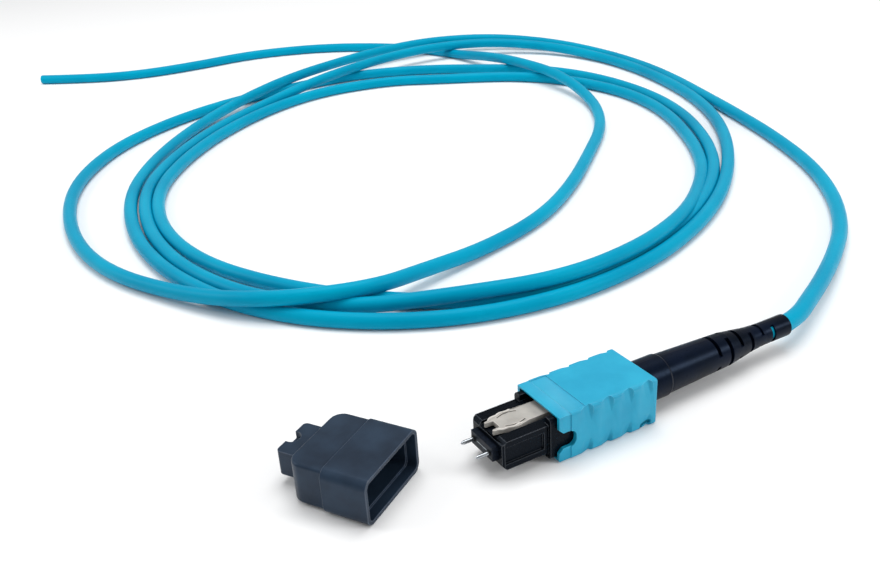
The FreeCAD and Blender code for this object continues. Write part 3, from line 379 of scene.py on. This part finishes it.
def roughness_of(tree, field, gloss):
    """The two values of gloss, laid over a noise's span."""
    return add_node(tree, "ShaderNodeMapRange", {
        "Value": (field, "Fac"), "From Min": NOISE_SPAN[0], "From Max": NOISE_SPAN[1],
        "To Min": gloss[0], "To Max": gloss[1]})


def relief_of(tree, field, high_mm):
    """A bump that rises high_mm from the field's 0 to its 1."""
    return add_node(tree, "ShaderNodeBump", {"Height": (field, "Fac"), "Strength": 1.0,
                                             "Distance": high_mm * MM})


# %% [markdown]
# ## Moulded plastics and rubber
#
# The sleeve, the body, the keys and the cap are injection moulded. Such a part has one colour all
# through, very slightly clouded where the melt flowed, and a skin that repeats the steel mould: a
# fine spark-eroded grain that breaks up the highlights. The grain is about 0.03 mm on the real part,
# too fine to see here, so it is drawn at 0.15 to 0.3 mm. Two noise fields do it: a wide one for the
# cloud, and a fine one that sets the roughness and, as a very low bump, the grain.

# %% The moulded finish
CLOUD_SPAN = (0.35, 0.65)  # the noise values between which a cloud goes from dark to light


def moulded_finish(name, cloud_dark, cloud_light, cloud_mm, grain_mm, gloss, grain_high_mm,
                   ior=1.53, glow=0.0, shine=0.5, tint="#FFFFFF"):
    """Base colour: a wide noise from dark to light. Roughness: a fine noise between the two values
    of gloss. Bump: the fine noise, grain_high_mm high. glow is the share of light that goes in and
    comes out again a little way off, as in pale plastic. shine is how strong the mirror-like part of
    the light is, where 0.5 is a clean new surface, and tint colours it."""
    material, tree, out = new_finish(name)
    place = add_node(tree, "ShaderNodeTexCoord")
    cloud = add_node(tree, "ShaderNodeTexNoise", {"Vector": (place, "Object"), "Scale": per_metre(cloud_mm),
                                                  "Detail": 3.0, "Roughness": 0.55})
    colour = two_tones(tree, cloud, cloud_dark, cloud_light, CLOUD_SPAN)
    grain = add_node(tree, "ShaderNodeTexNoise", {"Vector": (place, "Object"), "Scale": per_metre(grain_mm),
                                                  "Detail": 4.0, "Roughness": 0.6})
    rough, bump = roughness_of(tree, grain, gloss), relief_of(tree, grain, grain_high_mm)
    skin = add_node(tree, "ShaderNodeBsdfPrincipled", {
        "Base Color": (colour, "Color"), "Roughness": (rough, "Result"), "Normal": (bump, "Normal"),
        "IOR": ior, "Specular IOR Level": shine, "Specular Tint": linear(tint),
        "Subsurface Weight": glow, "Subsurface Radius": (1.0, 0.8, 0.6), "Subsurface Scale": 0.4 * MM})
    tree.links.new(skin.outputs["BSDF"], out.inputs["Surface"])
    return material


# Aqua polyester, moulded: satin, with soft wide highlights and a little light let in at the edges.
aqua_polyester = moulded_finish("aqua moulded polyester", "#0E9BC0", "#1CA6C9", 6.0, 0.25,
                                (0.34, 0.46), 0.004, glow=0.06, shine=0.35)
# Black polyester, moulded and polished in the mould: deep, with sharp narrow highlights.
black_polyester = moulded_finish("black moulded polyester", "#03060A", "#070C13", 5.0, 0.25,
                                 (0.22, 0.34), 0.003, ior=1.55, shine=0.08, tint="#B4CCEE")
# Beige polyester of the keys: warm, chalky, almost matt.
beige_polyester = moulded_finish("beige moulded polyester", "#9E9B96", "#B2AFA9", 4.0, 0.3,
                                 (0.42, 0.55), 0.004, glow=0.1, shine=0.35)
# Dark blue-grey polyethylene of the cap: waxy, with a broad dull sheen.
cap_polyethylene = moulded_finish("blue-grey polyethylene", "#1B2634", "#273647", 7.0, 0.3,
                                  (0.32, 0.44), 0.006, ior=1.51, shine=0.26, tint="#BCD2F2")
# Black thermoplastic rubber of the boot: the mould is polished here too, so the highlights run long.
boot_rubber = moulded_finish("black thermoplastic rubber", "#030812", "#081020", 6.0, 0.3,
                             (0.26, 0.38), 0.005, ior=1.50, shine=0.14, tint="#8FB4E8")
# Grey thermoplastic rubber of the sleeve behind the ferrule: dull.
sleeve_rubber = moulded_finish("grey thermoplastic rubber", "#2E3338", "#3A4046", 3.0, 0.3,
                               (0.5, 0.65), 0.005, ior=1.50)
# Glass-filled polyphenylene sulphide of the ferrule: near black, and lapped flat, with glass specks.
ferrule_sulphide = moulded_finish("glass-filled sulphide", "#080C14", "#151C28", 0.35, 0.15,
                                  (0.25, 0.5), 0.003, ior=1.6, shine=0.1, tint="#B4CCEE")
# The rounds on moulded edges: the same plastics, glossier, in a lighter colour that paints a highlight.
black_edge_highlight = moulded_finish("black polyester, edges", "#1E242C", "#2C343E", 1.5, 0.25,
                            (0.16, 0.28), 0.002, shine=0.4)
cap_edge_highlight = moulded_finish("blue-grey polyethylene, edges", "#2E3B4C", "#3C4B60", 2.0, 0.3,
                          (0.3, 0.4), 0.004)
aqua_edge_highlight = moulded_finish("aqua polyester, edges", "#45B6D8", "#5CC4E2", 2.0, 0.25,
                           (0.25, 0.35), 0.002)
beige_edge_highlight = moulded_finish("beige polyester, edges", "#C4C0BA", "#D4D0CA", 2.0, 0.3,
                            (0.4, 0.5), 0.003)
# The broken edge of a guide hole lies in shade, painted here as a near-black colour.
hole_shadow = moulded_finish("glass-filled sulphide, hole edge", "#010204", "#05070A", 0.3, 0.15,
                             (0.5, 0.6), 0.002, ior=1.6, shine=0.05)
print("materials:", len(bpy.data.materials))

# %% [markdown]
# ## The cable's jacket
#
# The jacket is a halogen-free compound, pressed warm round the yarn. It is duller than the moulded
# parts, its colour clouds over centimetres rather than millimetres, and the skin has a faint
# orange-peel of half a millimetre. The moulded finish serves it too: its noises lie on the object's
# own coordinates, so nothing has to be unwrapped on a line that is nearly three metres long.

# %% The jacket finish
jacket_compound = moulded_finish("aqua halogen-free jacket", "#0092B6", "#00A0C2", 30.0, 0.5,
                                 (0.36, 0.48), 0.012, ior=1.5, shine=0.2, tint="#58C4E8")
print("jacket:", jacket_compound.name)

# %% [markdown]
# ## Metals
#
# The guide pins are ground round, so fine scratches run round them, the springs are drawn wire, with
# marks along it, and the clamp and crimp are stamped and plated. All are nearly neutral greys, and
# what tells them apart is how rough they are and which way the marks go. A noise that is squeezed
# along one axis by a Mapping node makes marks that run across that axis.

# %% The metal finish
def metal_finish(name, tint, gloss, mark_mm, stretch, mark_high_mm):
    """Metallic, with a noise of mark_mm scaled by stretch along X, Y and Z for the tool marks, which
    sets the roughness between the two values of gloss and a bump mark_high_mm high."""
    material, tree, out = new_finish(name)
    place = add_node(tree, "ShaderNodeTexCoord")
    squeezed = add_node(tree, "ShaderNodeMapping", {"Vector": (place, "Object"), "Scale": stretch})
    marks = add_node(tree, "ShaderNodeTexNoise", {"Vector": (squeezed, "Vector"), "Detail": 3.0,
                                                  "Scale": per_metre(mark_mm), "Roughness": 0.6})
    rough, bump = roughness_of(tree, marks, gloss), relief_of(tree, marks, mark_high_mm)
    skin = add_node(tree, "ShaderNodeBsdfPrincipled", {
        "Base Color": linear(tint), "Metallic": 1.0, "Roughness": (rough, "Result"),
        "Normal": (bump, "Normal")})
    tree.links.new(skin.outputs["BSDF"], out.inputs["Surface"])
    return material


# Stainless steel, centreless ground: bright, with rings round the pin.
ground_steel = metal_finish("ground stainless steel", "#A4A9AE", (0.12, 0.24), 0.3, (0.3, 4.0, 0.3), 0.001)
# Stainless strip, stamped: duller, grained along the strip.
stamped_steel = metal_finish("stamped stainless steel", "#B4B7BA", (0.28, 0.42), 0.3, (4.0, 0.4, 4.0), 0.002)
# Spring steel wire, drawn.
spring_wire = metal_finish("drawn spring steel", "#A9ADB1", (0.22, 0.36), 0.2, (1.0, 3.0, 1.0), 0.001)
# Nickel on brass, pressed in a die: slightly warm.
nickel_plate = metal_finish("nickel-plated brass", "#C9C4B8", (0.22, 0.38), 0.4, (1.0, 1.0, 1.0), 0.003)
print("materials:", len(bpy.data.materials))

# %% [markdown]
# ## Glass fibre and aramid yarn
#
# The twelve fibres lie side by side in a clear acrylate ribbon, which looks pale and slightly blue
# with a line between neighbours 0.25 mm apart. The aramid yarn is golden and silky, and its filaments
# run along the cable. Both are bands across the X axis, so a wave texture draws them.

# %% The strand finish
WAVE_REPEAT = 0.3142  # a wave texture repeats every 0.3142 of its coordinate at scale 1
STRAND_HIGH_MM = 0.02


def strand_finish(name, dark, light, pitch_mm, gloss, clear=0.0):
    """Bands pitch_mm apart along X, at the scale WAVE_REPEAT / pitch, give the base colour and a low
    bump between strands. clear is the share of the light that goes through."""
    material, tree, out = new_finish(name)
    place = add_node(tree, "ShaderNodeTexCoord")
    bands = add_node(tree, "ShaderNodeTexWave", {"Vector": (place, "Object"), "Distortion": 0.4,
                                                 "Scale": WAVE_REPEAT / (pitch_mm * MM)},
                     wave_type="BANDS", bands_direction="X")
    colour = two_tones(tree, bands, dark, light)
    bump = relief_of(tree, bands, STRAND_HIGH_MM)
    skin = add_node(tree, "ShaderNodeBsdfPrincipled", {
        "Base Color": (colour, "Color"), "Roughness": gloss, "Normal": (bump, "Normal"),
        "Transmission Weight": clear, "IOR": 1.5})
    tree.links.new(skin.outputs["BSDF"], out.inputs["Surface"])
    return material


ribbon_acrylate = strand_finish("clear acrylate fibre ribbon", "#9FB9C4", "#DCE8EC", 0.25, 0.2, 0.3)
aramid_yarn = strand_finish("golden aramid yarn", "#B08A2C", "#E0BE5A", 0.3, 0.5)
# A lapped fibre end: clear glass over a bright core.
fibre_glass = strand_finish("lapped silica fibre end", "#A8B4BC", "#D6DEE2", 0.06, 0.1, 0.2)
print("materials:", len(bpy.data.materials))

# %% [markdown]
# ## Dressing the CAD nodes
#
# Each node keeps its mesh, and its material slots are filled with the finish of its slot in the
# record, so a part that shares a mould colour shares a material.

# %% Finishes for the nodes
FINISHES = {
    "aqua_housing": aqua_polyester, "black_housing": black_polyester, "ferrule": ferrule_sulphide,
    "pin_steel": ground_steel, "clamp_steel": stamped_steel, "ferrule_sleeve": sleeve_rubber,
    "fibre": ribbon_acrylate, "yarn": aramid_yarn, "crimp_metal": nickel_plate,
    "boot_rubber": boot_rubber, "beige_key": beige_polyester, "cap_plastic": cap_polyethylene,
    "spring_steel": spring_wire, "cable_jacket": jacket_compound}
slot_of = {part["node"]: part["material_slot"] for part in frame["record"]["subparts"]}
for name, node in frame["nodes"].items():
    finish = FINISHES[slot_of[name]]
    if not node.data.materials:
        node.data.materials.append(finish)
    for slot in node.material_slots:
        slot.material = finish
for piece, finish in ((cable, jacket_compound), (yarn, aramid_yarn), (fibres, ribbon_acrylate)):
    piece.data.materials.append(finish)
print("dressed:", len(slot_of))

# %% [markdown]
# ## Eased edges with a painted highlight
#
# No moulded edge is knife sharp: the mould leaves a round of about a tenth of a millimetre, and that
# round catches a thin bright line along every edge of a dark part. The CAD keeps sharp edges, so
# the parts that show most are copied, their triangles are merged, and a Bevel modifier takes the
# corners off. It hardens the normals, so the flat faces stay flat in the light. The rounds take a
# lighter colour of the same plastic, a painted highlight that draws the bright line. The function
# that copies and merges stands by itself, because the springs need such copies too.

# %% Merged copies of CAD nodes
SAME_PLACE = 0.001 * MM  # points nearer than this are one


def merged_copy(name, body, ending, facet_turn=0.0):
    """A new piece in a node's place: its triangles with their doubles merged, in its own finish. Faces
    that meet at less than facet_turn are joined to one."""
    work = bmesh.new()
    work.from_mesh(frame["nodes"][name].data)
    bmesh.ops.remove_doubles(work, verts=work.verts, dist=SAME_PLACE)
    if facet_turn:
        bmesh.ops.dissolve_limit(work, angle_limit=facet_turn, verts=work.verts, edges=work.edges)
    mesh = bpy.data.meshes.new(name + ending)
    work.to_mesh(mesh)
    work.free()
    mesh.materials.clear()
    mesh.materials.append(FINISHES[slot_of[name]])
    mesh.polygons.foreach_set("material_index", np.zeros(len(mesh.polygons), dtype=np.int32))
    mesh.shade_smooth()
    piece = place_piece(name + ending, mesh, body)
    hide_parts(name)
    return piece


# %% Copies with eased edges
FACET_TURN = math.radians(1)  # the triangles of one flat face meet at less than this
CREASE_TURN = math.radians(20)  # the steps of one curve meet at less than this
ROUND_SEGMENTS, EDGE_HIGHLIGHT_SLOT = 2, 1  # the painted edge highlight is the second material
EASED = [("inner_housing", "plug", 0.10, black_edge_highlight), ("dust_cap", "plug", 0.12, cap_edge_highlight),
         ("outer_housing", "sleeve", 0.12, aqua_edge_highlight), ("polarity_key_top", "key_top", 0.06, beige_edge_highlight),
         ("polarity_key_bottom", "key_bottom", 0.06, beige_edge_highlight)]  # the widths are in mm


def eased_copy(name, body, width_mm, edge_highlight_finish):
    """A merged copy whose edges, where they turn by more than SHARP_TURN, get a round width_mm wide in
    the lighter edge finish, which is a painted highlight."""
    piece = merged_copy(name, body, "_eased", facet_turn=FACET_TURN)
    piece.data.materials.append(edge_highlight_finish)
    piece.data.set_sharp_from_angle(angle=CREASE_TURN)
    ease = piece.modifiers.new("eased edges", "BEVEL")
    ease.limit_method, ease.angle_limit = "ANGLE", SHARP_TURN
    ease.width, ease.segments = width_mm * MM, ROUND_SEGMENTS
    ease.material, ease.harden_normals = EDGE_HIGHLIGHT_SLOT, True
    return piece


for name, body, width_mm, edge_highlight_finish in EASED:
    made = eased_copy(name, body, width_mm, edge_highlight_finish)
    print(made.name, len(made.data.polygons), "faces")

# %% [markdown]
# ## The springs
#
# Two springs push the sleeve forwards and one pushes the ferrule. The rear end of each stands on the
# body, and its front end moves with what it pushes, so the spring gets shorter by that travel. The
# joints name their springs, and each spring is copied as a merged piece with its own mesh that moves
# with the joint's parent.

# %% Springs
for joint in frame["joints"]:
    for spring in joint.get("deforming_nodes", []):
        coil = merged_copy(spring["node"], joint["parent"], "_wound")
        coil.data.set_sharp_from_angle(angle=SHARP_TURN)
        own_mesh(coil)

# %% [markdown]
# ## The keys' springy rims
#
# Two springy legs hold a key in its channel, and a low rim runs along each leg in a soft wave, from
# the fork at the tip to the end of the slot beside it. The rim is a round bar that is half sunk in the
# plate. The middle of the bar is worked out as one line, and the ring function turns it into a skin.

# %% Wavy rims on both keys
RIM_FROM, RIM_TO, RIM_WIDE = 0.6 * MM, 5.5 * MM, 0.36 * MM  # behind the key's tip, and the bar's width
RIM_AT_TIP, RIM_AT_BULGE = 1.22 * MM, 2.1 * MM  # away from the key's middle
BULGE_AT = 3.5 * MM  # behind the key's tip
WAVE_HIGH, WAVE_LONG = 0.1 * MM, 2.0 * MM
TAPER_LEAST, TAPER_FULL = 0.02, 0.25  # the sines at which the bar is thinnest and at its full width
RIM_RINGS, RIM_SIDES = 40, 12


def wavy_rims(body, outer_corner):
    """At a place b behind the key's tip the line is RIM_AT_TIP + (RIM_AT_BULGE - RIM_AT_TIP)
    sin(90 deg b / BULGE_AT) away from the key's middle, plus a ripple of WAVE_HIGH that repeats every
    WAVE_LONG. At a share s of its way the bar's radius is RIM_WIDE / 2 sqrt(sin(180 deg s) /
    TAPER_FULL), and at most RIM_WIDE / 2, which rounds both ends. outer_corner is the corner of the
    key's box, 0 or 1, that lies on its outer face."""
    key = "polarity_" + body
    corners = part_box(key)
    tip_y, outer = corners[0][1], corners[outer_corner][2]
    middle = (corners[0][0] + corners[1][0]) / 2
    back = np.linspace(RIM_FROM, RIM_TO, RIM_RINGS)
    bow = np.sin(np.clip(back / BULGE_AT, 0, 1) * math.pi / 2)
    ripple = WAVE_HIGH * np.cos((back - RIM_TO) / WAVE_LONG * 2 * math.pi)
    away = RIM_AT_TIP + (RIM_AT_BULGE - RIM_AT_TIP) * bow + ripple
    taper = np.sin((back - RIM_FROM) / (RIM_TO - RIM_FROM) * math.pi)
    reach = RIM_WIDE / 2 * np.sqrt(np.clip(taper, TAPER_LEAST, TAPER_FULL) / TAPER_FULL)
    lines = [np.c_[middle + hand * away, tip_y + back, np.full(RIM_RINGS, outer)] for hand in (-1, 1)]
    skins = np.stack([rings_along(line, reach, RIM_SIDES) for line in lines])
    rims = ring_piece(key + "_rims", skins, body)
    # The bar takes the lighter beige of the edges, a painted highlight along the rim.
    rims.data.materials.append(beige_edge_highlight)
    return rims


for body, outer_corner in (("key_top", 1), ("key_bottom", 0)):
    rims = wavy_rims(body, outer_corner)
    print(rims.name, len(rims.data.polygons), "faces")

# %% [markdown]
# ## The ferrule's face
#
# A multi-fibre ferrule is lapped flat with its twelve fibres in place, 0.25 mm apart in one row between
# the guide pins. Each fibre is bare glass there, 0.125 mm across, and stands a few thousandths of a
# millimetre proud. Twelve short rounded stubs show them as pale dots. Round each pin the guide hole is
# broken at its edge, and a shallow collar in near black, a painted shade, shows that sunken edge.

# %% Fibre ends and guide hole collars
FIBRE_PITCH, GLASS_WIDE, GLASS_PROUD = 0.25 * MM, 0.125 * MM, 0.004 * MM
SUNK = 0.05 * MM  # how far behind the face the stubs begin
GLASS_SIDES, GLASS_TOP = 12, 0.8  # the rounded top's share of the radius
COLLAR_SIDES = 32
COLLAR_IN, COLLAR_CREST, COLLAR_OUT = 0.52, 0.62, 0.85  # radii, as shares of the pin's width
COLLAR_FRONTS = 0.01 * MM, 0.02 * MM, -0.02 * MM  # how far in front: outside, crest and inside
face_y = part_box("ferrule")[0][1]
pin_low, pin_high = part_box("guide_pin_left")
level, pin_wide = (pin_low[2] + pin_high[2]) / 2, pin_high[0] - pin_low[0]


def stubs(middles_x, profile, sides):
    """Short bodies that stand on the ferrule's face at each x. The profile lists (radius, how far in
    front of the face), and each pair gives one ring: (x + r cos a, face - front, level + r sin a)."""
    turn = np.linspace(0, 2 * math.pi, sides, endpoint=False)
    reach, front = np.array(profile).T
    rings = np.empty((len(middles_x), len(profile), sides, 3))
    rings[..., 0] = np.asarray(middles_x)[:, None, None] + reach[:, None] * np.cos(turn)
    rings[..., 1] = (face_y - front)[:, None]
    rings[..., 2] = level + reach[:, None] * np.sin(turn)
    return rings


fibre_x = (np.arange(FIBRES) - (FIBRES - 1) / 2) * FIBRE_PITCH
glass = GLASS_WIDE / 2
stub = [(glass, -SUNK), (glass, GLASS_PROUD / 2), (glass * GLASS_TOP, GLASS_PROUD)]
ends = ring_piece("fibre_ends", stubs(fibre_x, stub, GLASS_SIDES), "ferrule_group")
ends.data.materials.append(fibre_glass)

pin_x = [sum(corner[0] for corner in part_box(pin)) / 2 for pin in ("guide_pin_left", "guide_pin_right")]
collar_in, collar_crest, collar_out = (pin_wide * share for share in (COLLAR_IN, COLLAR_CREST, COLLAR_OUT))
collar = [(collar_in, -SUNK), (collar_out, -SUNK), (collar_out, COLLAR_FRONTS[0]),
          (collar_crest, COLLAR_FRONTS[1]), (collar_in, COLLAR_FRONTS[2])]
holes = ring_piece("guide_hole_collars", stubs(pin_x, collar, COLLAR_SIDES), "ferrule_group")
# The collars' near-black is painted shade round the guide holes.
holes.data.materials.append(hole_shadow)
print("fibre ends:", len(fibre_x), "guide holes:", len(pin_x))

# %% [markdown]
# ## The boot's lining and the shade in its slots
#
# The boot is cut by slots so that it bends. The slots stop at a thin lining of the boot's black rubber,
# and only the last of them lets the cable's colour through. The lining closes the slots as on such
# boots, and its black also stands in for the deep shade inside them, a painted shade. It is a sleeve
# that is just wider than the cable.

# %% Boot lining and the painted shade in the slots
LINING_GAP = 0.06 * MM  # between the cable and the lining's outside
LINING_FROM, LINING_TO = 26 * MM, 5.2 * MM  # ahead of the boot's tail
LINING_RINGS, LINING_SIDES = 12, 32
boot_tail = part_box("strain_relief_boot")[1][1]
lining_y = np.linspace(boot_tail - LINING_FROM, boot_tail - LINING_TO, LINING_RINGS)
lining_path = np.array([(0.0, y, level) for y in lining_y])
lining_reach = np.full(LINING_RINGS, CABLE_WIDE / 2 + LINING_GAP)
shade_lining = ring_piece("boot_lining", rings_along(lining_path, lining_reach, LINING_SIDES)[None],
                    "plug")
# The lining's black stands in part for the shade deep in the boot's slots.
shade_lining.data.materials.append(boot_rubber)
print("lining:", len(shade_lining.data.polygons), "faces")

# %% [markdown]
# ## The floor and the light
#
# A white table top and a bright room. The world lights everything evenly, a large panel overhead
# gives the top faces their soft sheen, a smaller one from the left draws the edges, and a small one
# from the right, behind the plug, lights its grips and the boot.

# %% Floor
FLOOR_HALF = 6  # metres from the middle to each side
table_paint, tree, out = new_finish("white table")
mottle = add_node(tree, "ShaderNodeTexNoise", {"Scale": per_metre(40.0), "Detail": 2.0})
tone = two_tones(tree, mottle, "#F4F5F6", "#F8F8F8")
paint = add_node(tree, "ShaderNodeBsdfPrincipled", {"Base Color": (tone, "Color"), "Roughness": 0.9,
                                                    "Specular IOR Level": 0.2})
tree.links.new(paint.outputs["BSDF"], out.inputs["Surface"])
floor_mesh = bpy.data.meshes.new("floor")
floor_mesh.from_pydata([(x * FLOOR_HALF, y * FLOOR_HALF, 0) for x, y in ((-1, -1), (1, -1), (1, 1), (-1, 1))],
                       [], [(0, 1, 2, 3)])
floor_mesh.materials.append(table_paint)
floor = bpy.data.objects.new("floor", floor_mesh)
scene.collection.objects.link(floor)
print("floor:", 2 * FLOOR_HALF, "m wide")

# %% Light
WORLD_WHITE, WORLD_STRENGTH = (1.0, 1.0, 1.0, 1.0), 0.42
PANELS = [("overhead", (-150, 100, 700), (-80, 40, 0), 500, 3.6),
          ("left", (-350, -450, 350), (-60, 20, 0), 250, 1.0),
          ("right", (330, 330, 260), (0, 5, 5), 150, 0.9)]
world = bpy.data.worlds.new("room")
scene.world = world
world.use_nodes = True
background = world.node_tree.nodes["Background"]
background.inputs["Color"].default_value = WORLD_WHITE
background.inputs["Strength"].default_value = WORLD_STRENGTH


def panel(name, place_mm, aim_mm, size_mm, watts):
    """A square light of that size and power at the place, turned to face the aim."""
    data = bpy.data.lights.new(name, "AREA")
    data.size, data.energy = size_mm * MM, watts
    lamp = bpy.data.objects.new(name, data)
    lamp.location = Vector(place_mm) * MM
    lamp.rotation_euler = (Vector(aim_mm) - Vector(place_mm)).to_track_quat("-Z", "Y").to_euler()
    scene.collection.objects.link(lamp)


for lamp_values in PANELS:
    panel(*lamp_values)
scene.view_settings.view_transform = "Standard"
print("light: world and", len(PANELS), "panels")

# %% Update the scene
bpy.context.view_layer.update()
